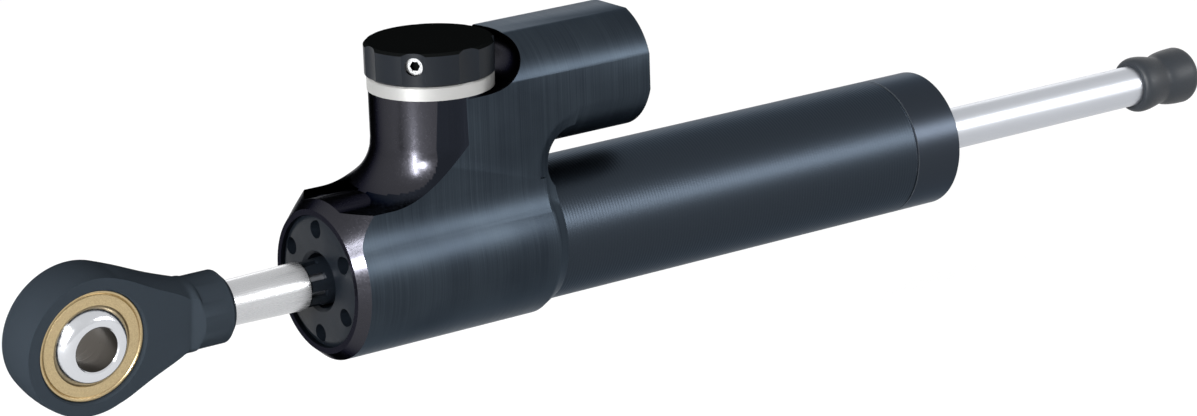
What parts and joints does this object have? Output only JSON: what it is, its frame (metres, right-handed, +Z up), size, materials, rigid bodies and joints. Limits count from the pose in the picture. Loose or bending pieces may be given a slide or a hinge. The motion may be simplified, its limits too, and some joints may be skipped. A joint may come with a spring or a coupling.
{
  "type": "steering damper",
  "caption": "Linear hydraulic steering damper for a motorcycle: spherical rod-end eye, sliding through-rod, billet housing with adjuster knob and barrel, long tube, rubber bumper.",
  "frame": {"origin": "centre of the ball in the rod-end eye", "axes": "+X along the damper from the eye to the rubber bumper, +Z up the adjuster knob's axis, +Y to the far side of the picture's view"},
  "size_m": [0.336, 0.036, 0.067],
  "materials": {
    "housing_anodised": "satin dark blue-grey anodised",
    "tube_anodised": "fine-turned black anodised",
    "cap_anodised": "matt black anodised",
    "machined_aluminium": "bare machined",
    "satin_aluminium": "satin silver anodised",
    "hard_chrome": "ground hard chrome",
    "ground_steel": "ground steel",
    "eye_paint": "satin black coated",
    "brass": "turned brass",
    "polished_steel": "polished bearing steel",
    "bumper_rubber": "matt blue-black rubber",
    "seal_rubber": "seal rubber",
    "ptfe": "bronze-filled PTFE",
    "spring_steel": "spring wire"
  },
  "bodies": {
    "housing": {"housing_block": "housing_anodised", "main_tube": "tube_anodised", "inner_liner": "machined_aluminium", "front_cap": "cap_anodised", "front_guide": "machined_aluminium", "front_bush": "ptfe", "front_rod_seal": "seal_rubber", "front_wiper": "seal_rubber", "front_o_ring": "seal_rubber", "rear_cap": "tube_anodised", "rear_bush": "ptfe", "rear_rod_seal": "seal_rubber", "rear_wiper": "seal_rubber", "rear_o_ring": "seal_rubber", "index_ring": "satin_aluminium", "valve_cartridge": "machined_aluminium", "valve_seat": "brass", "end_plug": "cap_anodised", "end_plug_o_ring": "seal_rubber", "compensator_spring": "spring_steel"},
    "compensator": {"compensator_piston": "machined_aluminium", "compensator_o_ring": "seal_rubber"},
    "slide_ring": {"piston_ring": "ptfe"},
    "rod_assembly": {"rod": "hard_chrome", "rod_piston": "machined_aluminium", "piston_clips": "spring_steel", "rod_sleeve": "ground_steel", "slotted_collar": "cap_anodised", "rod_end_eye": "eye_paint", "bearing_race": "brass", "rubber_bumper": "bumper_rubber"},
    "ball": {"bearing_ball": "polished_steel"},
    "adjuster": {"knob": "cap_anodised", "knob_set_screw": "ground_steel", "index_ball": "polished_steel", "index_spring": "spring_steel", "valve_spindle": "ground_steel"},
    "needle": {"metering_needle": "brass"}
  },
  "joints": [
    {"name": "rod_slide", "type": "slide", "parent": "housing", "child": "slide_ring", "axis": [1, 0, 0], "range_m": [-0.068, 0.007]},
    {"name": "rod_turn", "type": "hinge", "parent": "slide_ring", "child": "rod_assembly", "pos_m": [0, 0, 0], "axis": [1, 0, 0], "continuous": true},
    {"name": "ball_turn", "type": "hinge", "parent": "rod_assembly", "child": "ball", "pos_m": [0, 0, 0], "axis": [0, 0.9916, 0.1293], "continuous": true},
    {"name": "knob_turn", "type": "hinge", "parent": "housing", "child": "adjuster", "pos_m": [0.0912, 0, 0.0415], "axis": [0, 0, 1], "range_deg": [-180, 180]},
    {"name": "needle_slide", "type": "slide", "parent": "housing", "child": "needle", "axis": [0, 0, 1], "range_m": [-0.00075, 0.00075]},
    {"name": "compensator_slide", "type": "slide", "parent": "housing", "child": "compensator", "axis": [1, 0, 0], "range_m": [-0.003, 0.003], "deforming": ["compensator_spring"]}
  ],
  "couplings": [
    {"joint": "needle_slide", "follows": "knob_turn", "m_per_rad": 0.00023873}
  ]
}
